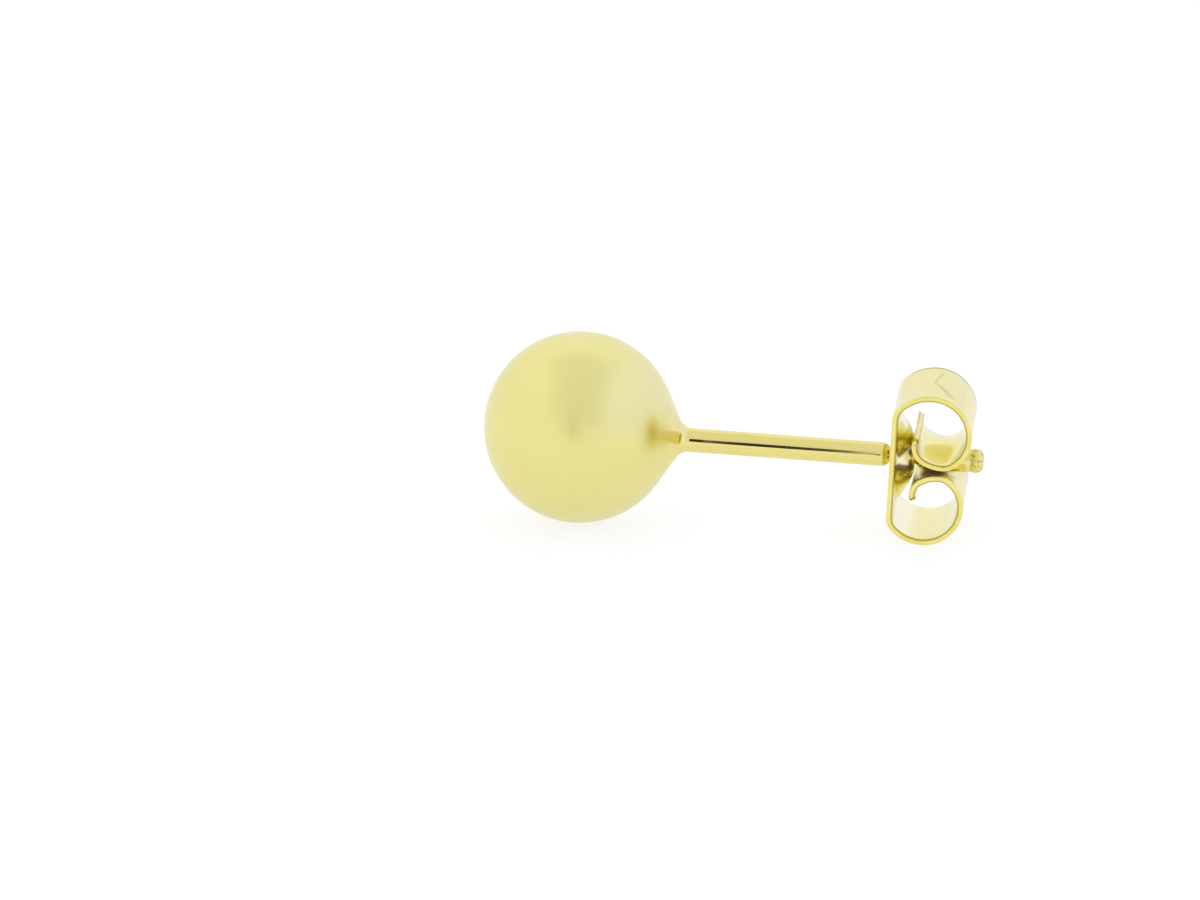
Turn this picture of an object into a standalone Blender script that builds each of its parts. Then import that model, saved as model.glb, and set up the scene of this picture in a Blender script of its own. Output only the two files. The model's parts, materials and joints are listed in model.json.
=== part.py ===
"""Ball stud earring with its butterfly clutch, lying unworn on a surface.

Metres, +Z up. The origin is the middle of the bounding box's floor.
The post lies in the XZ plane, with its free end towards +X.

Each piece is worked out in the earring's own directions:
  along   on the post's axis, from level with the ball's centre to the free end
  across  level, square to the post
  up      square to both
An empty on the post's axis then tips them by the small angle at which
the ball and the lower scroll of the clutch both touch the surface.
"""

import math

import bmesh
import bpy
import numpy as np
from mathutils import Vector

MM = 0.001

# Hollow ball, its vent hole on the side turned away, and the solder flare that joins it to the post
BALL_D = 6.0 * MM
BALL_WALL = 0.20 * MM
VENT_D = 0.45 * MM
VENT_TURN = math.radians(50)  # from the post's direction, seen from above
FLARE_CONE = math.radians(60)  # half angle of the cone that leaves the ball
FLARE_FILLET = 0.40 * MM  # hollow curve from the cone to the post

# Post, its length measured from the ball's surface
POST_D = 0.75 * MM
POST_LENGTH = 9.64 * MM
POST_DROP = 0.16 * MM  # the post is soldered on this far below the ball's middle

# Friction notch: its places are measured back from the post's end
NOTCH_FROM_TIP = 3.18 * MM
NOTCH_LENGTH = 1.25 * MM
NOTCH_DEPTH = 0.15 * MM
NOTCH_SHOULDER = 0.28 * MM
NOTCH_RAMP = 0.18 * MM

# Rounded end of the post, with the faint ring just before it
TIP_ROUND = 0.23 * MM
TIP_RING_LENGTH = 0.30 * MM
TIP_RING_GAP = 0.02 * MM  # from the ring to where the rounding starts
TIP_RING_DEPTH = 0.025 * MM

# Butterfly clutch: one strip of sheet metal, whose two scrolls aren't quite alike
CLUTCH_FROM_TIP = 2.85 * MM  # from the post's end back to the plate's ear side
UPPER_SCROLL = 2.42 * MM  # from the post's axis up to the clutch's top
LOWER_SCROLL = 2.30 * MM  # from the post's axis down to its underside
CLUTCH_WIDTH = 3.70 * MM
SHEET = 0.18 * MM
PINCH_GAP = 0.20 * MM  # between the two scrolls, beside the post
CLUTCH_CLEARANCE = 0.03 * MM  # between the post and what it passes through
CHANNEL_EASE = 0.20 * MM  # how softly a scroll runs into its dip over the post
STRIP_CORNER = 0.30 * MM  # rounded corners of the strip's free ends
RIM_RISE = 0.02 * MM  # how far rolling the strip turns its rims outwards

# Dimple pressed into the plate round its hole
DIMPLE_D = 2.90 * MM
DIMPLE_RISE = 0.58 * MM
DIMPLE_FILLET = 0.30 * MM
CURL_GAP = 0.03 * MM  # between the dimple's back and the rolled-in end

# A scroll's arcs, from the plate to the strip's free end.
# Columns: radius as a share of the scroll's own height, turn in degrees, steps.
BEND, RISE, OVER, UNDER, PINCH, LEAVE, CURL = range(7)
SCROLL_ARCS = (
    (0.28, 45, 4),  # bend out of the plate
    (0.61, 45, 4),  # on up to the top
    (0.55, 90, 7),  # over the top to the farthest point
    (0.49, 55, 5),  # back underneath
    (0.27, 35, 4),  # down onto the post
    (None, 30, 4),  # off the post, as long as the dimple leaves room for
    (0.26, 60, 5),  # rolled in towards the plate
    (0.22, 30, 4),  # free end, turned back a little
)

# Facets
TURNED_SIDES = 40
HOLLOW_SIDES = 24
HOLE_SIDES = 32
BALL_STEPS = 20
HOLLOW_STEPS = 12
SMALL_ARC_STEPS = 4
PLATE_STEPS = 8
ACROSS_STEPS = 7
SHARP_EDGE = math.radians(40)

# Finish
GOLD_COLOUR = (0.87, 0.76, 0.34, 1.0)
GOLD_ROUGHNESS = 0.12

BALL_R = BALL_D / 2
POST_R = POST_D / 2
TIP_AT = BALL_R + POST_LENGTH
PLATE_AT = TIP_AT - CLUTCH_FROM_TIP
PASSAGE_R = POST_R + CLUTCH_CLEARANCE


def gold(name):
    """Polished yellow gold."""
    material = bpy.data.materials.new(name)
    material.use_nodes = True
    shader = material.node_tree.nodes["Principled BSDF"]
    shader.inputs["Base Color"].default_value = GOLD_COLOUR
    shader.inputs["Metallic"].default_value = 1.0
    shader.inputs["Roughness"].default_value = GOLD_ROUGHNESS
    return material


def arc_points(centre, radius, start, end, steps):
    """Points on an arc, both ends included; angles in radians."""
    angles = np.linspace(start, end, steps + 1)
    return [(centre[0] + radius * math.cos(a), centre[1] + radius * math.sin(a)) for a in angles]


def add_mesh(name, points, faces, parent, place):
    """A mesh object from points and faces, faces turned outwards and shaded smooth."""
    mesh = bpy.data.meshes.new(name)
    mesh.from_pydata(points, [], faces)
    shape = bmesh.new()
    shape.from_mesh(mesh)
    bmesh.ops.recalc_face_normals(shape, faces=shape.faces)
    shape.to_mesh(mesh)
    shape.free()
    mesh.shade_smooth()
    mesh.set_sharp_from_angle(angle=SHARP_EDGE)
    piece = bpy.data.objects.new(name, mesh)
    bpy.context.scene.collection.objects.link(piece)
    piece.parent = parent
    piece.location = place
    return piece


def turned(profile, sides, middle):
    """Points and faces of a profile of (along, radius), turned about the line middle(along)."""
    points = [(profile[0][0], 0.0, middle(profile[0][0]))]
    for along, radius in profile[1:-1]:
        for k in range(sides):
            a = 2 * math.pi * k / sides
            points.append((along, radius * math.sin(a), middle(along) - radius * math.cos(a)))
    points.append((profile[-1][0], 0.0, middle(profile[-1][0])))
    rings = len(profile) - 2
    last = len(points) - 1

    def at(ring, k):
        return 1 + ring * sides + k % sides

    faces = []
    for k in range(sides):
        faces.append((0, at(0, k), at(0, k + 1)))
        faces.append((last, at(rings - 1, k + 1), at(rings - 1, k)))
        for ring in range(rings - 1):
            faces.append((at(ring, k), at(ring + 1, k), at(ring + 1, k + 1), at(ring, k + 1)))
    return points, faces


def cut_out(piece, cutter, name):
    """Takes the cutter's shape out of a piece and hides the cutter."""
    cutter.hide_render = True
    cutter.display_type = "WIRE"
    cut = piece.modifiers.new(name, "BOOLEAN")
    cut.operation = "DIFFERENCE"
    cut.solver = "EXACT"
    cut.object = cutter


# Ball and post

def flare_end():
    """Place along the post where the flare's hollow curve runs out into it."""
    fillet_r = POST_R + FLARE_FILLET
    return (BALL_R + FLARE_FILLET - fillet_r * math.cos(FLARE_CONE)) / math.sin(FLARE_CONE)


def ball_and_flare():
    """Profile of the ball, the cone that leaves it and the hollow curve to the post."""
    ball = arc_points((0, 0), BALL_R, math.pi, math.pi / 2 - FLARE_CONE, BALL_STEPS)
    ball[0] = (-BALL_R, 0.0)
    centre = (flare_end(), POST_R + FLARE_FILLET)
    start = math.pi * 3 / 2 - FLARE_CONE
    return ball + arc_points(centre, FLARE_FILLET, start, math.pi * 3 / 2, SMALL_ARC_STEPS)


def middle_line(along):
    """Height of the turned piece's middle: the ball's own as far as the flare, then the post's."""
    flare_start = BALL_R * math.sin(FLARE_CONE)
    share = (along - flare_start) / (flare_end() - flare_start)
    share = min(max(share, 0.0), 1.0)
    return POST_DROP * (1 + math.cos(math.pi * share)) / 2


def straight_line(along):
    """Height of the middle of a piece turned about its own axis: zero all along."""
    return 0.0


def hollow_and_vent():
    """Profile of the ball's hollow, drawn out through the wall as the vent hole."""
    hollow_r = BALL_R - BALL_WALL
    vent_r = VENT_D / 2
    hollow = arc_points((0, 0), hollow_r, math.pi, math.asin(vent_r / hollow_r), HOLLOW_STEPS)
    hollow[0] = (-hollow_r, 0.0)
    outside = BALL_R + BALL_WALL
    return hollow + [(outside, vent_r), (outside, 0.0)]


def notch():
    """Profile of the friction notch: a round shoulder, the neck and a ramp back up."""
    start = TIP_AT - NOTCH_FROM_TIP
    neck_r = POST_R - NOTCH_DEPTH
    centre_r = POST_R - NOTCH_SHOULDER
    foot = math.asin((neck_r - centre_r) / NOTCH_SHOULDER)
    profile = arc_points((start, centre_r), NOTCH_SHOULDER, math.pi / 2, foot, SMALL_ARC_STEPS)
    end = start + NOTCH_LENGTH
    return profile + [(end - NOTCH_RAMP, neck_r), (end, POST_R)]


def tip():
    """Profile of the faint ring and the rounded end."""
    centre = (TIP_AT - TIP_ROUND, POST_R - TIP_ROUND)
    ring_start = centre[0] - TIP_RING_GAP - TIP_RING_LENGTH
    profile = []
    for k in range(SMALL_ARC_STEPS + 1):
        share = k / SMALL_ARC_STEPS
        dip = TIP_RING_DEPTH * (1 - math.cos(2 * math.pi * share)) / 2
        profile.append((ring_start + TIP_RING_LENGTH * share, POST_R - dip))
    profile += arc_points(centre, TIP_ROUND, math.pi / 2, 0.0, SMALL_ARC_STEPS)
    return profile + [(TIP_AT, 0.0)]


def make_ball_and_post(parent):
    """Ball, flare and post: soldered together, one solid."""
    points, faces = turned(ball_and_flare() + notch() + tip(), TURNED_SIDES, middle_line)
    piece = add_mesh("ball_and_post", points, faces, parent, Vector((0, 0, 0)))
    piece.data.materials.append(gold("ball_and_post_gold"))

    ball_centre = Vector((0, 0, middle_line(0)))
    points, faces = turned(hollow_and_vent(), HOLLOW_SIDES, straight_line)
    cutter = add_mesh("ball_hollow_cutter", points, faces, parent, ball_centre)
    half_side = math.pi / HOLLOW_SIDES  # keeps the cutter's corners off the ball's own
    cutter.rotation_euler = (half_side, 0.0, VENT_TURN)
    cut_out(piece, cutter, "hollow")


# Butterfly clutch

def dimple_cap():
    """Radius of the dimple's round cap, and of cap and foot fillet together."""
    both = ((DIMPLE_D / 2) ** 2 + DIMPLE_RISE**2) / (2 * DIMPLE_RISE)
    return both - DIMPLE_FILLET, both


def dimple(radius):
    """Height of the dimple at a distance from the hole's axis: a round cap with a filleted foot."""
    foot_r = DIMPLE_D / 2
    cap_r, both = dimple_cap()
    if radius >= foot_r:
        return 0.0
    if radius > foot_r * cap_r / both:
        return DIMPLE_FILLET - math.sqrt(DIMPLE_FILLET**2 - (foot_r - radius) ** 2)
    return DIMPLE_RISE - cap_r + math.sqrt(cap_r**2 - radius**2)


def dimple_back(radius):
    """Height of the cap's far side, one sheet further on."""
    cap_r = dimple_cap()[0]
    return DIMPLE_RISE - cap_r + math.sqrt((cap_r + SHEET) ** 2 - radius**2)


def scroll_radii(reach):
    """The arcs' radii, scaled so that a scroll spans from the pinch gap to its reach from the axis."""
    span = reach - PINCH_GAP / 2
    turn = [math.radians(row[1]) for row in SCROLL_ARCS]
    share = [row[0] for row in SCROLL_ARCS]
    share_span = (
        share[OVER] + share[UNDER] * math.sin(turn[UNDER]) + share[PINCH] * (1 - math.cos(turn[PINCH]))
    )
    radii = [None if part is None else part * span / share_span for part in share]
    # the arc off the post ends where the rolled-in end clears the dimple's back
    farthest = (
        radii[BEND] * (1 - math.cos(turn[BEND])) + radii[RISE] * math.sin(turn[RISE]) + radii[OVER]
    )
    touch = farthest - radii[UNDER] * (1 - math.cos(turn[UNDER])) - radii[PINCH] * math.sin(turn[PINCH])
    curl_depth = radii[CURL] * (1 - math.sin(turn[LEAVE]))
    nearest = dimple_back(PINCH_GAP / 2 + radii[CURL]) + CURL_GAP
    radii[LEAVE] = (touch - curl_depth - nearest) / math.sin(turn[LEAVE])
    return radii


def plate_straight(reach):
    """The plate's straight length between the post's axis and the bend into a scroll."""
    radii = scroll_radii(reach)
    bend = math.radians(SCROLL_ARCS[BEND][1])
    return reach - radii[BEND] * math.sin(bend) - radii[RISE] * (1 - math.cos(bend))


def strip_path(reach):
    """Half of the strip's outer line as (along, up), from the plate's centre to the free end.

    Also returned: the outward direction and the length of line left at each point,
    and the index of the scroll's farthest point from the axis.
    """
    straight = plate_straight(reach)
    line = [(0.0, straight * k / PLATE_STEPS) for k in range(PLATE_STEPS + 1)]
    outward = [(-1.0, 0.0)] * len(line)
    heading = math.pi / 2
    top = None
    for number, (radius, (_, degrees, steps)) in enumerate(zip(scroll_radii(reach), SCROLL_ARCS)):
        along, up = line[-1]
        turn = math.radians(degrees)
        centre = (along + radius * math.sin(heading), up - radius * math.cos(heading))
        start = heading + math.pi / 2
        line += arc_points(centre, radius, start, start - turn, steps)[1:]
        outward += arc_points((0, 0), 1.0, start, start - turn, steps)[1:]
        heading -= turn
        if number == RISE:
            top = len(line) - 1
    steps = [math.dist(a, b) for a, b in zip(line, line[1:])]
    left = [sum(steps[k:]) for k in range(len(line))]
    return line, outward, left, top


def channel_lift(up, across):
    """How far the scroll is pressed away from the post: a bell shape across the whole strip."""
    short = PASSAGE_R - up
    depth = (short + math.hypot(short, CHANNEL_EASE)) / 2
    return depth * (1 + math.cos(2 * math.pi * across / CLUTCH_WIDTH)) / 2


def rim_rise(number, across):
    """How far a place on the strip is turned outwards: not on the flat plate, more towards the rims."""
    bent = (number - PLATE_STEPS) / SCROLL_ARCS[BEND][2]
    return RIM_RISE * min(max(bent, 0.0), 1.0) * (across / (CLUTCH_WIDTH / 2)) ** 2


def half_outer_face(reach):
    """Rows of points on the strip's outer face, from the plate's centre to a scroll's free end."""
    line, outward, left, top = strip_path(reach)
    half_width = CLUTCH_WIDTH / 2
    lines = np.linspace(-half_width, half_width, 2 * ACROSS_STEPS + 1).tolist()
    rows = []
    for k, (along, up) in enumerate(line):
        short = max(STRIP_CORNER - left[k], 0.0)
        narrowed = half_width - STRIP_CORNER + math.sqrt(STRIP_CORNER**2 - short**2)
        row = []
        for base in lines:
            across = base * narrowed / half_width
            pressed = dimple(math.hypot(up, across)) if k < top else 0.0
            lifted = channel_lift(up, across) if k >= top else 0.0
            rise = rim_rise(k, across)
            row.append((along + pressed + rise * outward[k][0], across, up + lifted + rise * outward[k][1]))
        rows.append(row)
    return rows


def outer_face():
    """Grid of points on the strip's outer face, from the lower free end to the upper one."""
    below = half_outer_face(LOWER_SCROLL)
    lower = [[(along, across, -up) for along, across, up in row] for row in below[:0:-1]]
    return np.array(lower + half_outer_face(UPPER_SCROLL))


def inner_face(outer):
    """The outer face moved by the sheet's thickness, square to it, to the side the strip rolls to."""
    down_strip = np.gradient(outer, axis=0)
    across_strip = np.gradient(outer, axis=1)
    normal = np.cross(across_strip, down_strip)
    normal /= np.linalg.norm(normal, axis=2)[:, :, None]
    return outer + SHEET * normal


def clutch_shell():
    """Points and faces of the strip as one closed sheet, before its hole is cut."""
    outer = outer_face()
    inner = inner_face(outer)
    rows, columns = outer.shape[:2]
    points = np.concatenate([outer.reshape(-1, 3), inner.reshape(-1, 3)]).tolist()
    half = rows * columns

    def at(row, column, face):
        return face * half + row * columns + column

    faces = []
    for r in range(rows - 1):
        for c in range(columns - 1):
            for face in (0, 1):
                corners = [at(r, c, face), at(r, c + 1, face), at(r + 1, c + 1, face), at(r + 1, c, face)]
                faces.append(corners)
        for c in (0, columns - 1):
            faces.append([at(r, c, 0), at(r + 1, c, 0), at(r + 1, c, 1), at(r, c, 1)])
    for c in range(columns - 1):
        for r in (0, rows - 1):
            faces.append([at(r, c, 0), at(r, c + 1, 0), at(r, c + 1, 1), at(r, c, 1)])
    return points, faces


def make_butterfly_clutch(parent):
    """The clutch, with its origin on the post's axis at the plate's ear side."""
    place = Vector((PLATE_AT, 0, 0))
    points, faces = clutch_shell()
    clutch = add_mesh("butterfly_clutch", points, faces, parent, place)
    clutch.data.materials.append(gold("butterfly_clutch_gold"))

    deep = DIMPLE_RISE + 2 * SHEET
    drill = [(-SHEET, 0.0), (-SHEET, PASSAGE_R), (deep, PASSAGE_R), (deep, 0.0)]
    points, faces = turned(drill, HOLE_SIDES, straight_line)
    cutter = add_mesh("clutch_hole_cutter", points, faces, parent, place)
    cutter.rotation_euler.x = math.pi / HOLE_SIDES  # keeps the cutter's corners off the strip's lines
    cut_out(clutch, cutter, "hole")


# Placing

def resting_tilt():
    """Angle by which the post falls towards its free end, with ball and lower scroll touching."""
    radii = scroll_radii(LOWER_SCROLL)
    bend = math.radians(SCROLL_ARCS[BEND][1])
    over_along = PLATE_AT + radii[BEND] * (1 - math.cos(bend)) + radii[RISE] * math.sin(bend)
    over_up = POST_DROP + LOWER_SCROLL - radii[OVER]
    reach = math.hypot(over_along, over_up)
    rim_r = radii[OVER] + RIM_RISE
    return math.asin((BALL_R - rim_r) / reach) - math.atan2(over_up, over_along)


def make_axis_empty():
    """Empty on the post's axis, level with the ball's centre, its X axis along the post."""
    tilt = resting_tilt()
    flat_r = POST_R - TIP_ROUND
    leftmost = POST_DROP * math.sin(tilt) - BALL_R
    rightmost = (TIP_AT - TIP_ROUND) * math.cos(tilt) + flat_r * math.sin(tilt) + TIP_ROUND
    axis = bpy.data.objects.new("post_axis", None)
    axis.empty_display_size = BALL_D
    axis.location = (-(leftmost + rightmost) / 2, 0.0, BALL_R - POST_DROP * math.cos(tilt))
    axis.rotation_euler = (0.0, tilt, 0.0)
    bpy.context.scene.collection.objects.link(axis)
    return axis


def main():
    for item in list(bpy.data.objects):
        bpy.data.objects.remove(item)
    axis = make_axis_empty()
    make_ball_and_post(axis)
    make_butterfly_clutch(axis)


main()
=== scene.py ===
"""Looks of a ball stud earring with its butterfly clutch, lying on a pale surface.

Lengths are in metres. Both pieces are worked out in the earring's own directions:
  along   on the post's axis, from level with the ball's centre to the free end
  across  level, square to the post
  up      square to both
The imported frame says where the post's axis runs, and both pieces are placed on it.
"""

import json
import math

import bmesh
import bpy
import numpy as np
from mathutils import Matrix, Vector


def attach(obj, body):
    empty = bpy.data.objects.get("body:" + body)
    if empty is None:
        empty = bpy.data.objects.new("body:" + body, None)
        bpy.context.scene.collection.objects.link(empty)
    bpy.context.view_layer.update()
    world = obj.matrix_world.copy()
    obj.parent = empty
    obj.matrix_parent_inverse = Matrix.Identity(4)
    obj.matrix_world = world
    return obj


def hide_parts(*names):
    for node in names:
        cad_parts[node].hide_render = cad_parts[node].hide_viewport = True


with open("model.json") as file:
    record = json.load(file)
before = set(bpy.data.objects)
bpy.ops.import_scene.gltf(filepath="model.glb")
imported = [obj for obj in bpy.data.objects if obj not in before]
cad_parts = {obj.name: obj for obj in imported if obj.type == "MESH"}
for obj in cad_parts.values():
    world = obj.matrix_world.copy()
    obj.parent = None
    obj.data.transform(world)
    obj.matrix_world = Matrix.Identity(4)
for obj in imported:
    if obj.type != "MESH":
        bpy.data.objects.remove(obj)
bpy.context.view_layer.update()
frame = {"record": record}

MM = 0.001

# Ball, vent hole and solder flare
BALL_R = 3.0 * MM
BALL_WALL = 0.20 * MM
VENT_R = 0.225 * MM
VENT_TURN = math.radians(50)
FLARE_CONE = math.radians(60)
FLARE_FILLET = 0.40 * MM
FLARE_WAVE = 0.006 * MM  # how unevenly the solder ran out round the flare

# Waves in the solder. Columns: size, waves round the post, twist along it, offset.
SOLDER_WAVES = (
    (1.0, 3, 9, 0.0),
    (0.6, 7, -5, 1.0),
)

# Post with its friction notch, ring and rounded end
POST_R = 0.375 * MM
POST_DROP = 0.16 * MM
TIP_AT = BALL_R + 9.64 * MM
NOTCH_AT = TIP_AT - 3.18 * MM
NOTCH_LENGTH = 1.25 * MM
NOTCH_DEPTH = 0.15 * MM
NOTCH_SHOULDER = 0.28 * MM
NOTCH_RAMP = 0.18 * MM
TIP_ROUND = 0.23 * MM
TIP_RING_LENGTH = 0.30 * MM
TIP_RING_GAP = 0.02 * MM
TIP_RING_DEPTH = 0.025 * MM

# Clutch: one rolled strip of sheet, whose two scrolls aren't quite alike
PLATE_AT = TIP_AT - 2.85 * MM
UPPER_SCROLL = 2.42 * MM
LOWER_SCROLL = 2.30 * MM
CLUTCH_WIDTH = 3.70 * MM
HALF_WIDTH = CLUTCH_WIDTH / 2
SHEET = 0.18 * MM
PINCH_GAP = 0.20 * MM
PASSAGE_R = POST_R + 0.03 * MM
CHANNEL_EASE = 0.20 * MM
STRIP_CORNER = 0.30 * MM
RIM_RISE = 0.02 * MM
OUTER_ROUND = 0.04 * MM
INNER_ROUND = 0.05 * MM
DIMPLE_R = 1.45 * MM
DIMPLE_RISE = 0.58 * MM
DIMPLE_FILLET = 0.30 * MM
CURL_GAP = 0.03 * MM
HOLE_REACH = 1.30 * MM  # how far round the hole the sheet's mesh is drawn into rings

# A scroll's arcs, from the plate to the strip's free end.
# Columns: radius as a share of the scroll's own height, turn in degrees, steps.
BEND, RISE, OVER, UNDER, PINCH, LEAVE, CURL = range(7)
SCROLL_ARCS = (
    (0.28, 45, 14),  # bend out of the plate
    (0.61, 45, 14),  # on up to the top
    (0.55, 90, 30),  # over the top to the farthest point
    (0.49, 55, 20),  # back underneath
    (0.27, 35, 12),  # down onto the post
    (None, 30, 14),  # off the post, as long as the dimple leaves room for
    (0.26, 60, 18),  # rolled in towards the plate
    (0.22, 30, 10),  # free end, turned back a little
)

# Fineness
TURNED_SIDES = 192
HOLLOW_SIDES = 96
BALL_STEPS = 110
HOLLOW_STEPS = 48
SMALL_ARC_STEPS = 16
FLARE_STEPS = 8
SHANK_STEPS = 40
NOTCH_STEPS = 6
SHAFT_END_STEPS = 8
TIP_FACE_STEPS = 5
PLATE_STEPS_IN_HOLE = 10
PLATE_STEPS_OUTSIDE = 20
PLATE_STEPS = PLATE_STEPS_IN_HOLE + PLATE_STEPS_OUTSIDE
ACROSS_STEPS_OUTSIDE = 24
RIM_STEPS = 4
RIM_PROFILE = 0.5  # a round one
SHARP_ANGLE = math.radians(50)

# Crease over the upper scroll: its place from the plate, and how it slants on either half
CREASE_AT = 1.19 * MM
CREASE_FAR_SLOPE = 0.16
CREASE_NEAR_SLOPE = 0.46
CREASE_WIDTH = 0.05 * MM
CREASE_SPREAD = 0.13

# Order of the clutch's materials
OUTSIDE, CUT_EDGE, INSIDE, SHADED_RIM = range(4)

# Camera: turned about the upright through the ball's centre, seen from above the surface
CAMERA_AZIMUTH = math.radians(5.95)
CAMERA_ELEVATION = math.radians(15.15)
CAMERA_DISTANCE = 182.0 * MM
CAMERA_RIGHT = 0.625 * MM
CAMERA_DOWN = 0.719 * MM
CAMERA_LENS = 174.7
SENSOR_WIDTH = 36.0
CLIP_START = 0.01
CLIP_END = 2.0
BOUNCES = 24


# Places in the frame

def post_axis():
    """Matrix from the earring's own directions to the frame, from the plate's mount."""
    plate = frame["record"]["mounts"][0]
    along = -Vector(plate["axis"]).normalized()
    across = Vector((0, 1, 0))
    up = along.cross(across)
    turn = Matrix((along, across, up)).transposed().to_4x4()
    on_axis = Vector((plate["pos_m"][0], 0, plate["pos_m"][2]))
    return Matrix.Translation(on_axis - along * PLATE_AT) @ turn


AXIS = post_axis()
BALL_CENTRE = AXIS @ Vector((0, 0, POST_DROP))


# Mesh helpers

def arc_points(centre, radius, start, end, steps):
    """Points on an arc, both ends included; angles in radians."""
    angles = np.linspace(start, end, steps + 1)
    return [(centre[0] + radius * math.cos(a), centre[1] + radius * math.sin(a)) for a in angles]


def straight_points(start, end, steps):
    """Points between two points of a profile, both left out."""
    shares = [k / steps for k in range(1, steps)]
    return [tuple(a + (b - a) * s for a, b in zip(start, end)) for s in shares]


def new_piece(name, points, faces, place):
    """A smooth shaded mesh object, its points moved to their place in the frame."""
    mesh = bpy.data.meshes.new(name)
    mesh.from_pydata([tuple(p) for p in points], [], faces)
    mesh.transform(place)
    shape = bmesh.new()
    shape.from_mesh(mesh)
    bmesh.ops.recalc_face_normals(shape, faces=shape.faces)
    shape.to_mesh(mesh)
    shape.free()
    mesh.shade_smooth()
    piece = bpy.data.objects.new(name, mesh)
    bpy.context.scene.collection.objects.link(piece)
    return piece


def turned(profile, sides, middle, unevenness):
    """Points and faces of a profile of (along, radius), turned about the line middle(along)."""
    points = [(profile[0][0], 0.0, middle(profile[0][0]))]
    for along, radius in profile[1:-1]:
        for k in range(sides):
            a = 2 * math.pi * k / sides
            r = radius + unevenness(along, a)
            points.append((along, r * math.sin(a), middle(along) - r * math.cos(a)))
    points.append((profile[-1][0], 0.0, middle(profile[-1][0])))
    rings = len(profile) - 2
    last = len(points) - 1

    def at(ring, k):
        return 1 + ring * sides + k % sides

    faces = []
    for k in range(sides):
        faces.append((0, at(0, k), at(0, k + 1)))
        faces.append((last, at(rings - 1, k + 1), at(rings - 1, k)))
        for ring in range(rings - 1):
            faces.append((at(ring, k), at(ring + 1, k), at(ring + 1, k + 1), at(ring, k + 1)))
    return points, faces


# Ball and post

def flare_end():
    """Place along the post where the flare's hollow curve runs out into it."""
    fillet_r = POST_R + FLARE_FILLET
    return (BALL_R + FLARE_FILLET - fillet_r * math.cos(FLARE_CONE)) / math.sin(FLARE_CONE)


def middle_line(along):
    """Height of the turned piece's middle: the ball's own as far as the flare, then the post's."""
    flare_start = BALL_R * math.sin(FLARE_CONE)
    share = (along - flare_start) / (flare_end() - flare_start)
    share = min(max(share, 0.0), 1.0)
    return POST_DROP * (1 + math.cos(math.pi * share)) / 2


def straight_line(along):
    """Height of the middle of a piece turned about its own axis: zero all along."""
    return 0.0


def solder_waves(along, angle):
    """How much the solder stands out or in round the flare, fading to nothing at both ends."""
    start = BALL_R * math.sin(FLARE_CONE)
    share = (along - start) / (flare_end() + POST_R - start)
    if not 0.0 < share < 1.0:
        return 0.0
    fade = math.sin(math.pi * share) ** 2
    waves = sum(
        size * math.sin(round_post * angle + twist * share + offset)
        for size, round_post, twist, offset in SOLDER_WAVES
    )
    return FLARE_WAVE * fade * waves


def even(along, angle):
    """No unevenness."""
    return 0.0


def ball_and_flare():
    """Profile of the ball, the cone that leaves it and the hollow curve to the post."""
    ball = arc_points((0, 0), BALL_R, math.pi, math.pi / 2 - FLARE_CONE, BALL_STEPS)
    ball[0] = (-BALL_R, 0.0)
    centre = (flare_end(), POST_R + FLARE_FILLET)
    start = math.pi * 3 / 2 - FLARE_CONE
    hollow = arc_points(centre, FLARE_FILLET, start, math.pi * 3 / 2, SMALL_ARC_STEPS)
    return ball + straight_points(ball[-1], hollow[0], FLARE_STEPS) + hollow


def notch():
    """Profile of the friction notch: a round shoulder, the neck and a ramp back up."""
    neck_r = POST_R - NOTCH_DEPTH
    centre_r = POST_R - NOTCH_SHOULDER
    foot = math.asin((neck_r - centre_r) / NOTCH_SHOULDER)
    shoulder = arc_points((NOTCH_AT, centre_r), NOTCH_SHOULDER, math.pi / 2, foot, SMALL_ARC_STEPS)
    end = NOTCH_AT + NOTCH_LENGTH
    ramp = [(end - NOTCH_RAMP, neck_r), (end, POST_R)]
    return shoulder + straight_points(shoulder[-1], ramp[0], NOTCH_STEPS) + ramp


def tip():
    """Profile of the faint ring and the rounded end."""
    centre = (TIP_AT - TIP_ROUND, POST_R - TIP_ROUND)
    ring_start = centre[0] - TIP_RING_GAP - TIP_RING_LENGTH
    profile = []
    for k in range(SMALL_ARC_STEPS + 1):
        share = k / SMALL_ARC_STEPS
        dip = TIP_RING_DEPTH * (1 - math.cos(2 * math.pi * share)) / 2
        profile.append((ring_start + TIP_RING_LENGTH * share, POST_R - dip))
    profile += arc_points(centre, TIP_ROUND, math.pi / 2, 0.0, SMALL_ARC_STEPS)
    return profile + straight_points(profile[-1], (TIP_AT, 0.0), TIP_FACE_STEPS) + [(TIP_AT, 0.0)]


def hollow_and_vent():
    """Profile of the ball's hollow, drawn out through the wall as the vent hole."""
    hollow_r = BALL_R - BALL_WALL
    hollow = arc_points((0, 0), hollow_r, math.pi, math.asin(VENT_R / hollow_r), HOLLOW_STEPS)
    hollow[0] = (-hollow_r, 0.0)
    outside = BALL_R + BALL_WALL
    return hollow + [(outside, VENT_R), (outside, 0.0)]


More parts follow.
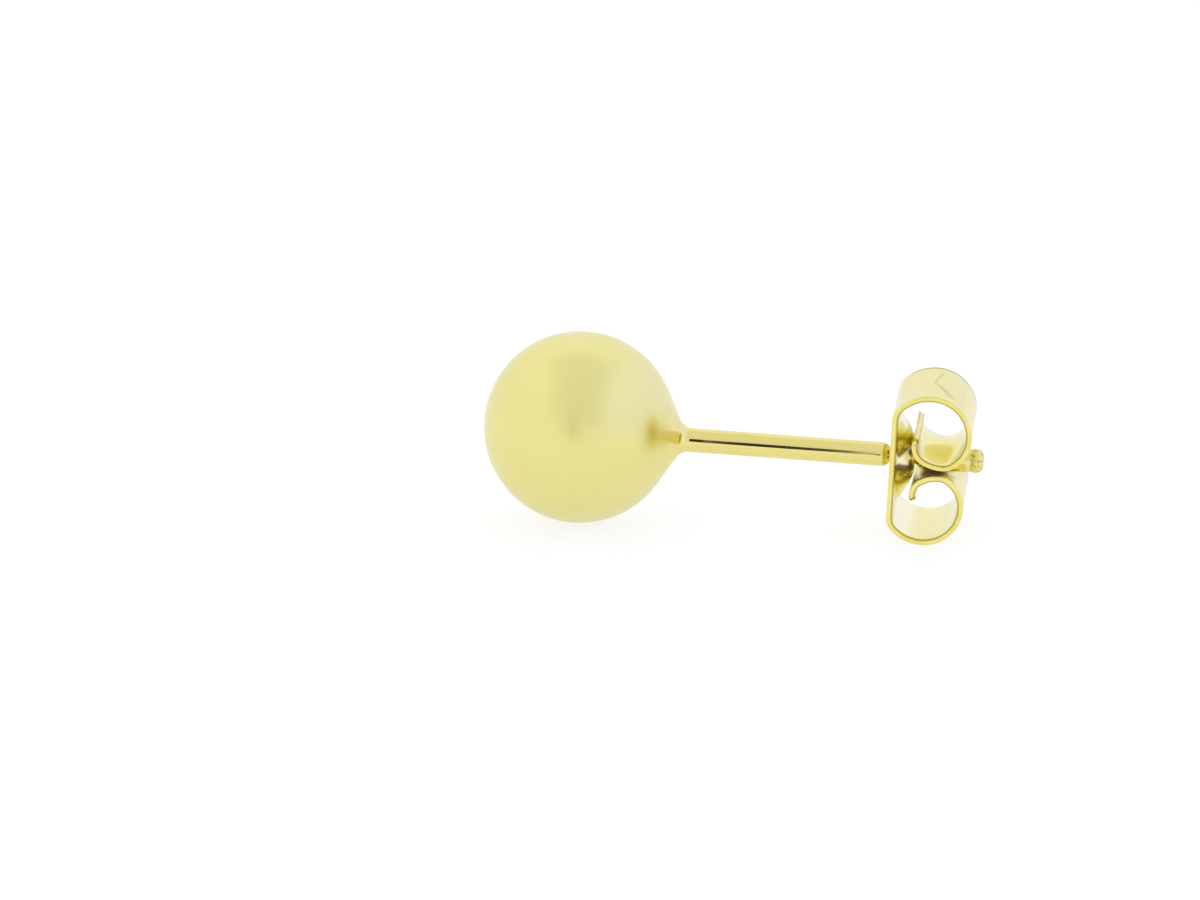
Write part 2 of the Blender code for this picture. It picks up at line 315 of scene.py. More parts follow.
def make_ball_and_post():
    """Ball, flare and post as one smooth piece, hollow inside the ball."""
    front, middle, end = ball_and_flare(), notch(), tip()
    shank = straight_points(front[-1], middle[0], SHANK_STEPS)
    shaft_end = straight_points(middle[-1], end[0], SHAFT_END_STEPS)
    profile = front + shank + middle + shaft_end + end
    points, faces = turned(profile, TURNED_SIDES, middle_line, solder_waves)
    piece = new_piece("ball_and_post_finish", points, faces, AXIS)

    half_side = math.pi / HOLLOW_SIDES
    own = Matrix.Rotation(VENT_TURN, 4, "Z") @ Matrix.Rotation(half_side, 4, "X")
    points, faces = turned(hollow_and_vent(), HOLLOW_SIDES, straight_line, even)
    cutter = new_piece("ball_hollow", points, faces, AXIS @ Matrix.Translation((0, 0, POST_DROP)) @ own)
    cut = piece.modifiers.new("hollow", "BOOLEAN")
    cut.operation = "DIFFERENCE"
    cut.solver = "EXACT"
    cut.object = cutter
    settle(piece)
    bpy.data.objects.remove(cutter)
    piece.data.set_sharp_from_angle(angle=SHARP_ANGLE)
    return piece


def settle(piece):
    """Applies a piece's modifiers."""
    bpy.context.view_layer.update()
    depsgraph = bpy.context.evaluated_depsgraph_get()
    mesh = bpy.data.meshes.new_from_object(piece.evaluated_get(depsgraph))
    piece.modifiers.clear()
    piece.data = mesh


# Butterfly clutch

def dimple_cap():
    """Radius of the dimple's round cap, and of cap and foot fillet together."""
    both = (DIMPLE_R**2 + DIMPLE_RISE**2) / (2 * DIMPLE_RISE)
    return both - DIMPLE_FILLET, both


def dimple(radius):
    """Height of the dimple at a distance from the hole's axis: a round cap with a filleted foot."""
    cap_r, both = dimple_cap()
    if radius >= DIMPLE_R:
        return 0.0
    if radius > DIMPLE_R * cap_r / both:
        return DIMPLE_FILLET - math.sqrt(DIMPLE_FILLET**2 - (DIMPLE_R - radius) ** 2)
    return DIMPLE_RISE - cap_r + math.sqrt(cap_r**2 - radius**2)


def dimple_back(radius):
    """Height of the cap's far side, one sheet further on."""
    cap_r = dimple_cap()[0]
    return DIMPLE_RISE - cap_r + math.sqrt((cap_r + SHEET) ** 2 - radius**2)


def scroll_radii(reach):
    """The arcs' radii, scaled so that a scroll spans from the pinch gap to its reach from the axis."""
    span = reach - PINCH_GAP / 2
    turn = [math.radians(row[1]) for row in SCROLL_ARCS]
    share = [row[0] for row in SCROLL_ARCS]
    share_span = (
        share[OVER] + share[UNDER] * math.sin(turn[UNDER]) + share[PINCH] * (1 - math.cos(turn[PINCH]))
    )
    radii = [None if part is None else part * span / share_span for part in share]
    # the arc off the post ends where the rolled-in end clears the dimple's back
    farthest = (
        radii[BEND] * (1 - math.cos(turn[BEND])) + radii[RISE] * math.sin(turn[RISE]) + radii[OVER]
    )
    touch = farthest - radii[UNDER] * (1 - math.cos(turn[UNDER])) - radii[PINCH] * math.sin(turn[PINCH])
    curl_depth = radii[CURL] * (1 - math.sin(turn[LEAVE]))
    nearest = dimple_back(PINCH_GAP / 2 + radii[CURL]) + CURL_GAP
    radii[LEAVE] = (touch - curl_depth - nearest) / math.sin(turn[LEAVE])
    return radii


def plate_rows(reach):
    """Heights of the rows on half of the plate, one of them at the hole's edge."""
    radii = scroll_radii(reach)
    bend = math.radians(SCROLL_ARCS[BEND][1])
    straight = reach - radii[BEND] * math.sin(bend) - radii[RISE] * (1 - math.cos(bend))
    inside = np.linspace(0, PASSAGE_R, PLATE_STEPS_IN_HOLE + 1)
    return inside.tolist() + np.linspace(PASSAGE_R, straight, PLATE_STEPS_OUTSIDE + 1)[1:].tolist()


def strip_path(reach):
    """Half of the strip's outer line as (along, up), from the plate's centre to the free end.

    Also returned: the outward direction and the length of line left at each point,
    and the index of the scroll's farthest point from the axis.
    """
    line = [(0.0, up) for up in plate_rows(reach)]
    outward = [(-1.0, 0.0)] * len(line)
    heading = math.pi / 2
    top = None
    for number, (radius, (_, degrees, steps)) in enumerate(zip(scroll_radii(reach), SCROLL_ARCS)):
        along, up = line[-1]
        turn = math.radians(degrees)
        centre = (along + radius * math.sin(heading), up - radius * math.cos(heading))
        start = heading + math.pi / 2
        line += arc_points(centre, radius, start, start - turn, steps)[1:]
        outward += arc_points((0, 0), 1.0, start, start - turn, steps)[1:]
        heading -= turn
        if number == RISE:
            top = len(line) - 1
    steps = [math.dist(a, b) for a, b in zip(line, line[1:])]
    left = [sum(steps[k:]) for k in range(len(line))]
    return line, outward, left, top


def channel_lift(up, across):
    """How far the scroll is pressed away from the post: a bell shape across the whole strip."""
    short = PASSAGE_R - up
    depth = (short + math.hypot(short, CHANNEL_EASE)) / 2
    return depth * (1 + math.cos(2 * math.pi * across / CLUTCH_WIDTH)) / 2


def across_lines():
    """The strip's lines across its width, one of them at the hole's edge on each side."""
    inside = np.linspace(0, PASSAGE_R, PLATE_STEPS_IN_HOLE + 1).tolist()
    outside = np.linspace(PASSAGE_R, HALF_WIDTH, ACROSS_STEPS_OUTSIDE + 1)[1:].tolist()
    lines = inside + outside
    return [-a for a in lines[:0:-1]] + lines


def rim_rise(number, across):
    """How far a place on the strip is turned outwards: not on the flat plate, more towards the rims."""
    bent = (number - PLATE_STEPS) / SCROLL_ARCS[BEND][2]
    return RIM_RISE * min(max(bent, 0.0), 1.0) * (across / HALF_WIDTH) ** 2


def ringed(up, across):
    """A place on the plate, drawn towards the hole so that the square of lines at its edge is round."""
    square = max(abs(up), abs(across))
    radius = math.hypot(up, across)
    if radius == 0 or square >= HOLE_REACH:
        return up, across
    far = min(max((square - PASSAGE_R) / (HOLE_REACH - PASSAGE_R), 0.0), 1.0)
    share = 1 - far * far * (3 - 2 * far)
    scale = (radius + share * (square - radius)) / radius
    return up * scale, across * scale


def half_outer_face(reach):
    """Rows of points on the strip's outer face, from the plate's centre to a scroll's free end."""
    line, outward, left, top = strip_path(reach)
    lines = across_lines()
    rows = []
    for k, (along, up) in enumerate(line):
        short = max(STRIP_CORNER - left[k], 0.0)
        narrowed = HALF_WIDTH - STRIP_CORNER + math.sqrt(STRIP_CORNER**2 - short**2)
        row = []
        for base in lines:
            across = base * narrowed / HALF_WIDTH
            height = up
            if k <= PLATE_STEPS:
                height, across = ringed(up, across)
            pressed = dimple(math.hypot(height, across)) if k < top else 0.0
            lifted = channel_lift(up, across) if k >= top else 0.0
            rise = rim_rise(k, across)
            out_along, out_up = outward[k]
            row.append((along + pressed + rise * out_along, across, height + lifted + rise * out_up))
        rows.append(row)
    return rows


def outer_face():
    """Grid of points on the strip's outer face, from the lower free end to the upper one."""
    below = half_outer_face(LOWER_SCROLL)
    lower = [[(along, across, -up) for along, across, up in row] for row in below[:0:-1]]
    return np.array(lower + half_outer_face(UPPER_SCROLL))


def inner_face(outer):
    """The outer face moved by the sheet's thickness, square to it, to the side the strip rolls to."""
    down_strip = np.gradient(outer, axis=0)
    across_strip = np.gradient(outer, axis=1)
    normal = np.cross(across_strip, down_strip)
    normal /= np.linalg.norm(normal, axis=2)[:, :, None]
    return outer + SHEET * normal


def sheet_faces(rows, columns):
    """Faces of both sides of the sheet and of its rims, with the hole's square left open."""
    middle_row, middle_column = (rows - 1) // 2, (columns - 1) // 2
    half = rows * columns
    front = []
    for r in range(rows - 1):
        for c in range(columns - 1):
            row_in = middle_row - PLATE_STEPS_IN_HOLE <= r < middle_row + PLATE_STEPS_IN_HOLE
            column_in = middle_column - PLATE_STEPS_IN_HOLE <= c < middle_column + PLATE_STEPS_IN_HOLE
            if not (row_in and column_in):
                at = r * columns + c
                front.append((at, at + 1, at + columns + 1, at + columns))
    back = [tuple(half + v for v in face[::-1]) for face in front]
    edges = {}
    for face in front:
        for a, b in zip(face, face[1:] + face[:1]):
            edges[(a, b)] = None
    walls = [(b, a, a + half, b + half) for a, b in edges if (b, a) not in edges]
    return front, back, walls


def make_butterfly_clutch():
    """The clutch with its rims rounded."""
    outer = outer_face()
    inner = inner_face(outer)
    rows, columns = outer.shape[:2]
    points = np.concatenate([outer.reshape(-1, 3), inner.reshape(-1, 3)])
    points[:, 0] += PLATE_AT
    front, back, walls = sheet_faces(rows, columns)
    used = sorted({v for face in front + back for v in face})
    place = {v: k for k, v in enumerate(used)}
    faces = [tuple(place[v] for v in face) for face in front + back + walls]
    piece = new_piece("butterfly_clutch_finish", points[used], faces, AXIS)

    first_wall = len(front) + len(back)
    shape = bmesh.new()
    shape.from_mesh(piece.data)
    for face in shape.faces:
        if face.index < len(front):
            face.material_index = OUTSIDE
        elif face.index < first_wall:
            face.material_index = INSIDE
        else:
            face.material_index = CUT_EDGE
    for side, rounded in ((OUTSIDE, OUTER_ROUND), (INSIDE, INNER_ROUND)):
        rims = [e for e in shape.edges if {f.material_index for f in e.link_faces} == {CUT_EDGE, side}]
        rounding = bmesh.ops.bevel(
            shape,
            geom=rims,
            offset=rounded,
            offset_type="OFFSET",
            segments=RIM_STEPS,
            profile=RIM_PROFILE,
            affect="EDGES",
        )
        # painted shade: the rounded rims on the far side and on the inside get a darker gold
        for face in rounding["faces"]:
            far = face.calc_center_median().y > 0
            face.material_index = SHADED_RIM if far or side == INSIDE else CUT_EDGE
    shape.to_mesh(piece.data)
    shape.free()
    piece.data.shade_smooth()
    return piece


# Materials

# Two shades of each surface's gold, which a noise goes between
BALL_GOLD = ((0.805, 0.748, 0.295, 1.0), (0.785, 0.722, 0.265, 1.0))
POST_GOLD = ((0.825, 0.732, 0.262, 1.0), (0.795, 0.695, 0.222, 1.0))
SHEET_GOLD = ((0.865, 0.785, 0.325, 1.0), (0.845, 0.760, 0.285, 1.0))
# painted light: the sheet's inner side gets a paler gold than its outer side
INSIDE_GOLD_WITH_PAINTED_LIGHT = ((0.902, 0.835, 0.400, 1.0), (0.882, 0.808, 0.360, 1.0))
CUT_GOLD = ((0.860, 0.775, 0.285, 1.0), (0.820, 0.720, 0.185, 1.0))
# painted shade for the rounded rims on the far side and on the inside
RIM_SHADE_GOLD = ((0.600, 0.480, 0.085, 1.0), (0.550, 0.430, 0.060, 1.0))

# Single colours
PLATE_BACK_PAINTED_LIGHT = (0.970, 0.940, 0.640, 1.0)  # painted light: paler, for the light that is lost between gold and gold
# painted shade: a darker band along the outer face's far rim
FAR_RIM_SHADE_GOLD = (0.330, 0.310, 0.150, 1.0)
# painted shade: the dark line along the crease over the upper scroll
CREASE_SHADE_GOLD = (0.560, 0.490, 0.190, 1.0)
PIT_GOLD = (0.420, 0.310, 0.080, 1.0)
GAP_SHADE_BROWN = (0.260, 0.135, 0.010, 1.0)  # painted shade: a dark colour put where the two scrolls meet
GRAZING_TINT = (0.92, 0.92, 0.92, 1.0)  # gold mirrors a little less just before the limb
WHITE = (1.0, 1.0, 1.0, 1.0)

# Noises: scale per metre, or one for each direction, then detail and roughness
BALL_CLOUDS = (420.0, 3.0)
TIP_MARKS = (9000.0, 4.0, 0.7)
POST_LINES = ((900.0, 26000.0, 26000.0), 3.0)
SHEET_CLOUDS = (700.0, 3.0)
SHEET_LINES = ((1200.0, 24000.0, 1200.0), 3.0)
EDGE_CLOUDS = (1500.0, 3.0)
EDGE_MARKS = (14000.0, 3.0, 0.6)
SURFACE_GRAIN = (900.0, 3.0)

# Part of a noise's range over which the first shade turns into the second
BALL_SHADES = (0.1, 0.9)
POST_SHADES = (0.35, 0.7)
SHEET_SHADES = (0.35, 0.7)
EDGE_SHADES = (0.35, 0.65)
SURFACE_SHADES = (0.3, 0.7)
PIT_SHADES = (0.52, 0.62)

# Roughness: the part of the noise's range, then the roughness at either end of it
BALL_POLISH = (0.0, 1.0, 0.283, 0.305)
POST_POLISH = (0.3, 0.7, 0.03, 0.055)
SHEET_POLISH = (0.3, 0.7, 0.17, 0.23)
EDGE_POLISH = (0.3, 0.7, 0.10, 0.18)
TIP_ROUGHER = 0.07
GAP_SHADE_ROUGHER = 0.30
COAT_WEIGHT = 0.3
COAT_ROUGHNESS = 0.03
SHEET_SPECULAR = 0.0

# Bumps: strength and depth
POST_BUMP = (0.10, 0.002 * MM)
TIP_BUMP = (1.0, 0.035 * MM)
SHEET_BUMP = (0.08, 0.002 * MM)
EDGE_BUMP = (0.1, 0.002 * MM)
CREASE_BUMP = (0.5, 0.004 * MM)

# Where a look begins or ends: from, to, and the values at either end where they aren't 0 and 1
POST_BEGINS = (2.7 * MM, 3.3 * MM)
TIP_BEGINS = (TIP_AT - 0.55 * MM, TIP_AT - 0.25 * MM)
PLATE_BACK_LIGHT_ENDS = (PLATE_AT + 0.60 * MM, PLATE_AT + 0.95 * MM, 0.8, 0.0)
CREASE_FAR_END = (1.20 * MM, 1.45 * MM, 1.0, 0.0)
CREASE_NEAR_END = (1.10 * MM, 1.55 * MM, 1.0, 0.0)
CREASE_LOWER_END = (1.4 * MM, 1.8 * MM)
GAP_SHADE_BEGINS = (PLATE_AT + 0.8 * MM, PLATE_AT + 1.1 * MM)
GAP_SHADE_ENDS = (PLATE_AT + 1.5 * MM, PLATE_AT + 1.85 * MM, 1.0, 0.0)
GAP_SHADE_EDGE = (0.12 * MM, 0.34 * MM, 0.85, 0.0)
GAP_SHADE_WIDER = (0.3 * MM, 1.5 * MM, 0.3 * MM, 0.0)  # in the middle, where the channel lifts the sheet
GAP_SHADE_UNEVEN = (0.3, 0.7, -0.04 * MM, 0.04 * MM)
FAR_RIM_SHADE_BEGINS = (1.64 * MM, 1.74 * MM, 0.0, 0.95)
FAR_RIM_SHADE_PAST_PLATE = (PLATE_AT + 0.2 * MM, PLATE_AT + 0.5 * MM)
CREASE_SHADE_SHARE = 0.9

# Table top
SURFACE_WHITES = ((0.205, 0.205, 0.205, 1.0), (0.195, 0.195, 0.195, 1.0))
SURFACE_ROUGHNESS = 0.8
SURFACE_GLOW = 0.79
SURFACE_HALF = 0.45


class Shader:
    """Short calls for making a material's or the world's nodes."""

    def __init__(self, tree):
        self.nodes = tree.nodes
        self.links = tree.links

    def add(self, kind, **settings):
        node = self.nodes.new(kind)
        for name, value in settings.items():
            setattr(node, name, value)
        return node

    def feed(self, socket, value):
        if isinstance(value, bpy.types.NodeSocket):
            self.links.new(value, socket)
        else:
            socket.default_value = value

    def math(self, operation, first, second=0.0):
        node = self.add("ShaderNodeMath", operation=operation)
        self.feed(node.inputs[0], first)
        self.feed(node.inputs[1], second)
        return node.outputs[0]

    def product(self, first, *others):
        for other in others:
            first = self.math("MULTIPLY", first, other)
        return first

    def distance(self, first, second):
        return self.math("ABSOLUTE", self.math("SUBTRACT", first, second))

    def dimmed(self, light, share, depth):
        """The light, less a part of itself: depth where share is 1, nothing where it is 0."""
        kept = self.math("SUBTRACT", 1.0, self.math("MULTIPLY", share, depth))
        return self.math("MULTIPLY", light, kept)

    def ramp(self, value, low, high, to_low=0.0, to_high=1.0):
        """Smooth change from to_low to to_high as value goes from low to high."""
        node = self.add("ShaderNodeMapRange", interpolation_type="SMOOTHSTEP")
        for socket, given in zip(node.inputs, (value, low, high, to_low, to_high)):
            self.feed(socket, given)
        return node.outputs[0]

    def noise(self, coordinates, scale, detail=2.0, roughness=0.5):
        node = self.add("ShaderNodeTexNoise")
        self.feed(node.inputs["Vector"], coordinates)
        self.feed(node.inputs["Scale"], scale)
        self.feed(node.inputs["Detail"], detail)
        self.feed(node.inputs["Roughness"], roughness)
        return node.outputs["Fac"]

    def streaks(self, coordinates, scales, detail):
        """Noise with a scale of its own in each direction."""
        node = self.add("ShaderNodeMapping")
        self.feed(node.inputs["Vector"], coordinates)
        self.feed(node.inputs["Scale"], scales)
        return self.noise(node.outputs[0], 1.0, detail)

    def mix(self, share, first, second):
        node = self.add("ShaderNodeMix", data_type="RGBA")
        self.feed(node.inputs["Factor"], share)
        self.feed(node.inputs[6], first)
        self.feed(node.inputs[7], second)
        return node.outputs[2]

    def bump(self, height, strength, depth, normal=None):
        node = self.add("ShaderNodeBump")
        self.feed(node.inputs["Height"], height)
        self.feed(node.inputs["Strength"], strength)
        self.feed(node.inputs["Distance"], depth)
        if normal is not None:
            self.feed(node.inputs["Normal"], normal)
        return node.outputs[0]

    def dot(self, vector, direction):
        node = self.add("ShaderNodeVectorMath", operation="DOT_PRODUCT")
        self.feed(node.inputs[0], vector)
        self.feed(node.inputs[1], direction)
        return node.outputs["Value"]

    def parts(self, vector):
        node = self.add("ShaderNodeSeparateXYZ")
        self.feed(node.inputs[0], vector)
        return node.outputs["X"], node.outputs["Y"], node.outputs["Z"]


def new_material(name):
    material = bpy.data.materials.new(name)
    material.use_nodes = True
    shader = Shader(material.node_tree)
    return material, shader, material.node_tree.nodes["Principled BSDF"]


def earring_place(shader):
    """Coordinates in the earring's own directions, which move with the piece."""
    node = shader.add("ShaderNodeMapping", vector_type="TEXTURE")
    shader.feed(node.inputs["Vector"], shader.add("ShaderNodeTexCoord").outputs["Object"])
    shader.feed(node.inputs["Location"], AXIS.translation)
    shader.feed(node.inputs["Rotation"], AXIS.to_euler())
    return node.outputs[0]


def gold_of_ball_and_post():
    """Soft polish on the ball, a brighter drawn surface with fine lines along the post, a pitted tip."""
    material, shader, principled = new_material("gold_ball_and_post")
    place = earring_place(shader)
    along, _, _ = shader.parts(place)
    on_post = shader.ramp(along, *POST_BEGINS)
    at_tip = shader.ramp(along, *TIP_BEGINS)
    cloudy = shader.ramp(shader.noise(place, *BALL_CLOUDS), *BALL_SHADES)
    lines = shader.streaks(place, *POST_LINES)
    marks = shader.noise(place, *TIP_MARKS)

    ball_colour = shader.mix(cloudy, *BALL_GOLD)
    post_colour = shader.mix(shader.ramp(lines, *POST_SHADES), *POST_GOLD)
    colour = shader.mix(on_post, ball_colour, post_colour)
    pits = shader.product(shader.ramp(marks, *PIT_SHADES), at_tip)
    shader.feed(principled.inputs["Base Color"], shader.mix(pits, colour, PIT_GOLD))
    shader.feed(principled.inputs["Metallic"], 1.0)

    polish = shader.ramp(cloudy, *BALL_POLISH)
    drawn = shader.ramp(lines, *POST_POLISH)
    rough = shader.math("ADD", polish, shader.product(on_post, shader.math("SUBTRACT", drawn, polish)))
    rough = shader.math("ADD", rough, shader.product(at_tip, TIP_ROUGHER))
    shader.feed(principled.inputs["Roughness"], rough)
    principled.inputs["Specular Tint"].default_value = GRAZING_TINT
    principled.inputs["Coat Weight"].default_value = COAT_WEIGHT
    principled.inputs["Coat Roughness"].default_value = COAT_ROUGHNESS

    fine = shader.bump(shader.product(lines, on_post), *POST_BUMP)
    worn = shader.bump(shader.product(marks, at_tip), *TIP_BUMP, fine)
    shader.feed(principled.inputs["Normal"], worn)
    return material


def crease(shader, along, across, up):
    """Share of the fine crease over the upper scroll: bent in the middle, wider on the near half. It
    gives the crease's bump and the dark line painted along it as shade.
    """
    on_far_half = shader.math("MAXIMUM", across, 0.0)
    on_near_half = shader.math("MAXIMUM", shader.product(across, -1.0), 0.0)
    line = shader.math("ADD", shader.product(on_far_half, CREASE_FAR_SLOPE), PLATE_AT + CREASE_AT)
    line = shader.math("ADD", line, shader.product(on_near_half, CREASE_NEAR_SLOPE))
    width = shader.math("ADD", shader.product(on_near_half, CREASE_SPREAD), CREASE_WIDTH)
    return shader.product(
        shader.ramp(shader.distance(along, line), 0.0, width, 1.0, 0.0),
        shader.ramp(on_far_half, *CREASE_FAR_END),
        shader.ramp(on_near_half, *CREASE_NEAR_END),
        shader.ramp(up, *CREASE_LOWER_END),
    )


def painted_gap_shade(shader, along, across, up, cloudy):
    """Share of the painted shade, a dark colour, where the two scrolls meet, with an uneven edge."""
    from_middle = shader.math("ABSOLUTE", across)
    from_axis = shader.math("ABSOLUTE", up)
    from_axis = shader.math("SUBTRACT", from_axis, shader.ramp(from_middle, *GAP_SHADE_WIDER))
    from_axis = shader.math("ADD", from_axis, shader.ramp(cloudy, *GAP_SHADE_UNEVEN))
    return shader.product(
        shader.ramp(from_axis, *GAP_SHADE_EDGE),
        shader.ramp(along, *GAP_SHADE_ENDS),
        shader.ramp(along, *GAP_SHADE_BEGINS),
    )


def gold_of_sheet(name, gold):
    """Bright rolled sheet with fine lines along the strip.

    The inner side is paler, more so on the plate: painted light. The outer one has painted shade where
    the scrolls meet and along the far rim, and a crease with a painted dark line.
    """
    material, shader, principled = new_material(name)
    place = earring_place(shader)
    along, across, up = shader.parts(place)
    cloudy = shader.noise(place, *SHEET_CLOUDS)
    lines = shader.streaks(place, *SHEET_LINES)
    colour = shader.mix(shader.ramp(cloudy, *SHEET_SHADES), *gold)
    rough = shader.ramp(lines, *SHEET_POLISH)
    metallic = 1.0
    normal = shader.bump(lines, *SHEET_BUMP)
    if gold is INSIDE_GOLD_WITH_PAINTED_LIGHT:
        # painted light: the inside is paler still on the plate's back
        colour = shader.mix(shader.ramp(along, *PLATE_BACK_LIGHT_ENDS), colour, PLATE_BACK_PAINTED_LIGHT)
    if gold is SHEET_GOLD:
        # painted shade between the scrolls: darker there, and rougher and less metallic
        gap_shade_share = painted_gap_shade(shader, along, across, up, cloudy)
        colour = shader.mix(gap_shade_share, colour, GAP_SHADE_BROWN)
        rough = shader.math("ADD", rough, shader.product(gap_shade_share, GAP_SHADE_ROUGHER))
        metallic = shader.math("SUBTRACT", 1.0, gap_shade_share)
        crease_and_shade = crease(shader, along, across, up)
        # painted shade: a dark line along the crease; the bump below is its dent
        colour = shader.mix(shader.product(crease_and_shade, CREASE_SHADE_SHARE), colour, CREASE_SHADE_GOLD)
        normal = shader.bump(shader.product(crease_and_shade, -1.0), *CREASE_BUMP, normal)
        # painted shade: the outer face darkens along its far rim, beyond the plate
        far_rim_shade = shader.ramp(across, *FAR_RIM_SHADE_BEGINS)
        far_rim_shade = shader.product(far_rim_shade, shader.ramp(along, *FAR_RIM_SHADE_PAST_PLATE))
        colour = shader.mix(far_rim_shade, colour, FAR_RIM_SHADE_GOLD)
    shader.feed(principled.inputs["Base Color"], colour)
    shader.feed(principled.inputs["Metallic"], metallic)
    shader.feed(principled.inputs["Roughness"], rough)
    principled.inputs["Specular Tint"].default_value = GRAZING_TINT
    principled.inputs["Specular IOR Level"].default_value = SHEET_SPECULAR
    shader.feed(principled.inputs["Normal"], normal)
    return material


def gold_of_cut_edge(name, gold):
    """Sheared and tumbled rim of the sheet: deeper in colour and less bright. With the darker gold it is
    painted shade on the far and inner rims.
    """
    material, shader, principled = new_material(name)
    place = earring_place(shader)
    cloudy = shader.noise(place, *EDGE_CLOUDS)
    marks = shader.noise(place, *EDGE_MARKS)
    shader.feed(principled.inputs["Base Color"], shader.mix(shader.ramp(cloudy, *EDGE_SHADES), *gold))
    shader.feed(principled.inputs["Metallic"], 1.0)
    shader.feed(principled.inputs["Roughness"], shader.ramp(marks, *EDGE_POLISH))
    principled.inputs["Specular Tint"].default_value = GRAZING_TINT
    shader.feed(principled.inputs["Normal"], shader.bump(marks, *EDGE_BUMP))
    return material


def pale_surface():
    """White table top, lit a little from below, with a barely visible grain."""
    material, shader, principled = new_material("pale_surface")
    place = shader.add("ShaderNodeTexCoord").outputs["Object"]
    grain = shader.noise(place, *SURFACE_GRAIN)
    white = shader.mix(shader.ramp(grain, *SURFACE_SHADES), *SURFACE_WHITES)
    shader.feed(principled.inputs["Base Color"], white)
    shader.feed(principled.inputs["Roughness"], SURFACE_ROUGHNESS)
    shader.feed(principled.inputs["Emission Color"], WHITE)
    shader.feed(principled.inputs["Emission Strength"], SURFACE_GLOW)
    return material


# Stage

def make_surface():
    """The surface that the earring lies on."""
    corners = [(x * SURFACE_HALF, y * SURFACE_HALF, 0) for x, y in ((-1, -1), (1, -1), (1, 1), (-1, 1))]
    mesh = bpy.data.meshes.new("table_top")
    mesh.from_pydata(corners, [], [(0, 1, 2, 3)])
    top = bpy.data.objects.new("table_top", mesh)
    bpy.context.scene.collection.objects.link(top)
    mesh.materials.append(pale_surface())


# Light tent. Places on it are shares of the directions sideways, forwards and up, from -1 to 1.
# As above, a range comes first, then the values at either end where they aren't 0 and 1.
TENT_FOLDS = ((3.0, 3.0, 2.0), 2.0)
FOLD_SHIFT = (0.3, 0.7, -0.12, 0.12)
GREY_ACROSS = (0.25, 0.65, 1.0, 0.0)
GREY_IN_FRONT = (-0.6, -0.2)
GREY_UPWARDS = (0.1, 0.55, 0.35, 1.0)
GREY_DEPTH = 0.16
TENT_LIGHT = 1.04
TENT_TOP_LIGHT = (0.3, 1.0, 0.0, 0.06)
HEM_HEIGHT = 0.02
HEM_EDGE = (0.015, 0.035, 1.0, 0.0)
HEM_BEHIND = (-0.6, -0.2, 1.0, 0.0)
HEM_DEPTH = 0.08
SLIT_SLANT = 0.075
SLITS = ((-0.165, 0.015, 0.44), (-0.130, 0.012, 0.22))  # place sideways, half width, top
SLIT_SIDE_BLUR = 0.003
SLIT_TOP_BLUR = 0.03
SLIT_IN_FRONT = (0.0, 0.2)
SLIT_DEPTH = 0.98
COOL_SIDE = (0.15, 0.75)
COOL_LIGHT = (0.97, 1.0, 1.35, 1.0)


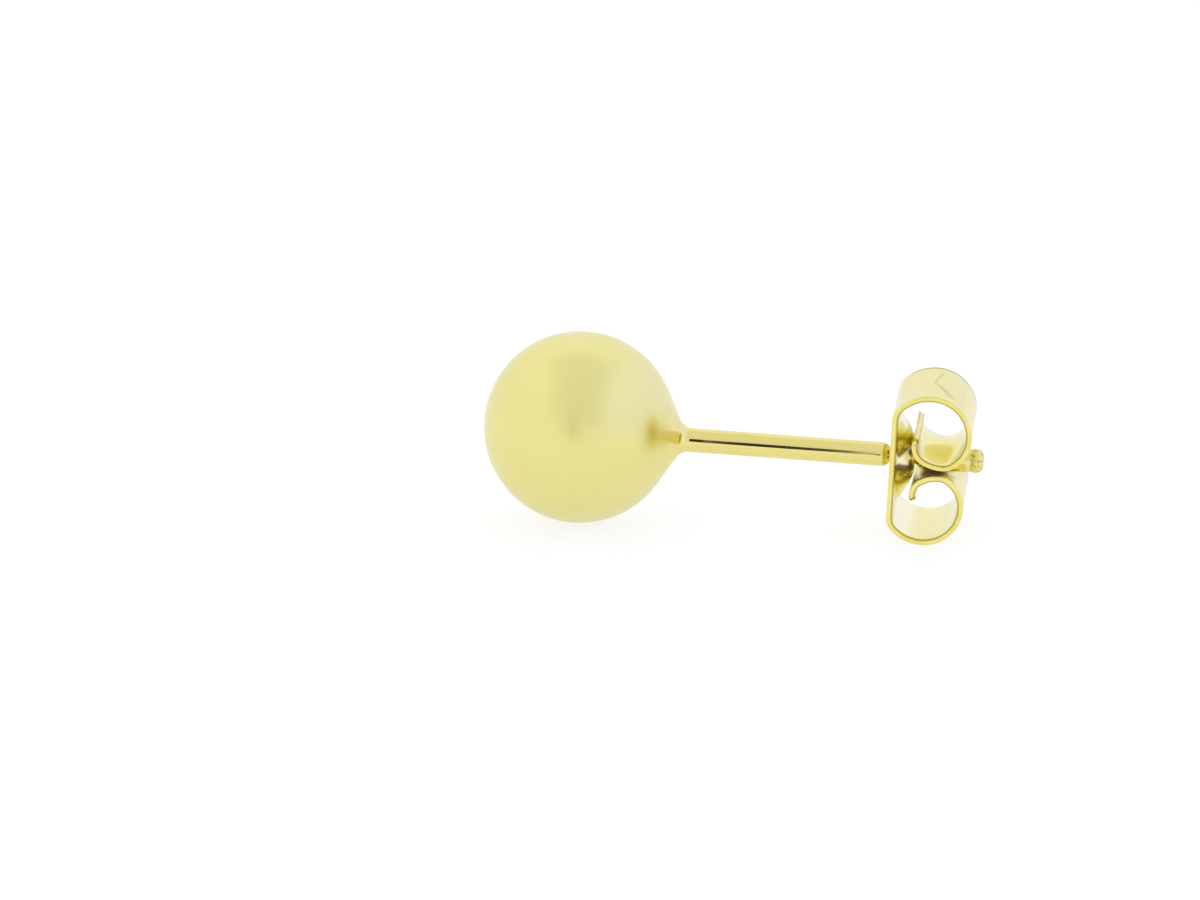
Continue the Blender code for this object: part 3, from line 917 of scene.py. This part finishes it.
def make_light_tent():
    """White tent all round: greyer in front, cooler on the right, with a soft hem and two dark slits."""
    world = bpy.data.worlds.new("light_tent")
    bpy.context.scene.world = world
    world.use_nodes = True
    shader = Shader(world.node_tree)
    way = shader.add("ShaderNodeTexCoord").outputs["Generated"]
    forwards = shader.dot(way, (math.sin(CAMERA_AZIMUTH), -math.cos(CAMERA_AZIMUTH), 0.0))
    sideways = shader.dot(way, (math.cos(CAMERA_AZIMUTH), math.sin(CAMERA_AZIMUTH), 0.0))
    height = shader.dot(way, (0.0, 0.0, 1.0))

    light = shader.math("ADD", TENT_LIGHT, shader.ramp(height, *TENT_TOP_LIGHT))
    folds = shader.streaks(way, *TENT_FOLDS)
    unevenly = shader.math("ADD", sideways, shader.ramp(folds, *FOLD_SHIFT))
    grey = shader.product(
        shader.ramp(shader.math("ABSOLUTE", unevenly), *GREY_ACROSS),
        shader.ramp(forwards, *GREY_IN_FRONT),
        shader.ramp(height, *GREY_UPWARDS),
    )
    light = shader.dimmed(light, grey, GREY_DEPTH)
    hem = shader.ramp(shader.distance(height, HEM_HEIGHT), *HEM_EDGE)
    hem = shader.product(hem, shader.ramp(forwards, *HEM_BEHIND))
    light = shader.dimmed(light, hem, HEM_DEPTH)
    slanted = shader.math("SUBTRACT", sideways, shader.product(height, SLIT_SLANT))
    for centre, half_width, top in SLITS:
        inner, outer = half_width - SLIT_SIDE_BLUR, half_width + SLIT_SIDE_BLUR
        slit = shader.product(
            shader.ramp(shader.distance(slanted, centre), inner, outer, 1.0, 0.0),
            shader.ramp(height, top - SLIT_TOP_BLUR, top + SLIT_TOP_BLUR, 1.0, 0.0),
            shader.ramp(forwards, *SLIT_IN_FRONT),
        )
        light = shader.dimmed(light, slit, SLIT_DEPTH)

    background = world.node_tree.nodes["Background"]
    cool = shader.ramp(sideways, *COOL_SIDE)
    shader.feed(background.inputs["Color"], shader.mix(cool, WHITE, COOL_LIGHT))
    shader.feed(background.inputs["Strength"], light)


def make_camera():
    """Camera at the photograph's angle to the earring."""
    level = math.cos(CAMERA_ELEVATION)
    back = Vector((
        math.sin(CAMERA_AZIMUTH) * level,
        -math.cos(CAMERA_AZIMUTH) * level,
        math.sin(CAMERA_ELEVATION),
    ))
    right = Vector((math.cos(CAMERA_AZIMUTH), math.sin(CAMERA_AZIMUTH), 0))
    up = back.cross(right)
    data = bpy.data.cameras.new("camera")
    data.sensor_width = SENSOR_WIDTH
    data.lens = CAMERA_LENS
    data.clip_start = CLIP_START
    data.clip_end = CLIP_END
    camera = bpy.data.objects.new("camera", data)
    camera.rotation_mode = "QUATERNION"
    camera.rotation_quaternion = (-back).to_track_quat("-Z", "Y")
    camera.location = BALL_CENTRE + back * CAMERA_DISTANCE + right * CAMERA_RIGHT - up * CAMERA_DOWN
    bpy.context.scene.collection.objects.link(camera)
    bpy.context.scene.camera = camera


def main():
    make_camera()
    make_surface()
    make_light_tent()
    scene = bpy.context.scene
    scene.view_settings.view_transform = "Standard"
    # gold that mirrors gold needs more bounces than usual, or the clutch's inside turns black
    scene.cycles.max_bounces = BOUNCES
    scene.cycles.glossy_bounces = BOUNCES

    ball_and_post = make_ball_and_post()
    ball_and_post.data.materials.append(gold_of_ball_and_post())
    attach(ball_and_post, "stud")
    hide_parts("ball_and_post")

    clutch = make_butterfly_clutch()
    clutch.data.materials.append(gold_of_sheet("gold_sheet", SHEET_GOLD))
    clutch.data.materials.append(gold_of_cut_edge("gold_cut_edge", CUT_GOLD))
    clutch.data.materials.append(gold_of_sheet("gold_sheet_inside_painted_light", INSIDE_GOLD_WITH_PAINTED_LIGHT))
    clutch.data.materials.append(gold_of_cut_edge("gold_rim_painted_shade", RIM_SHADE_GOLD))
    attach(clutch, "clutch")
    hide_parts("butterfly_clutch")


main()
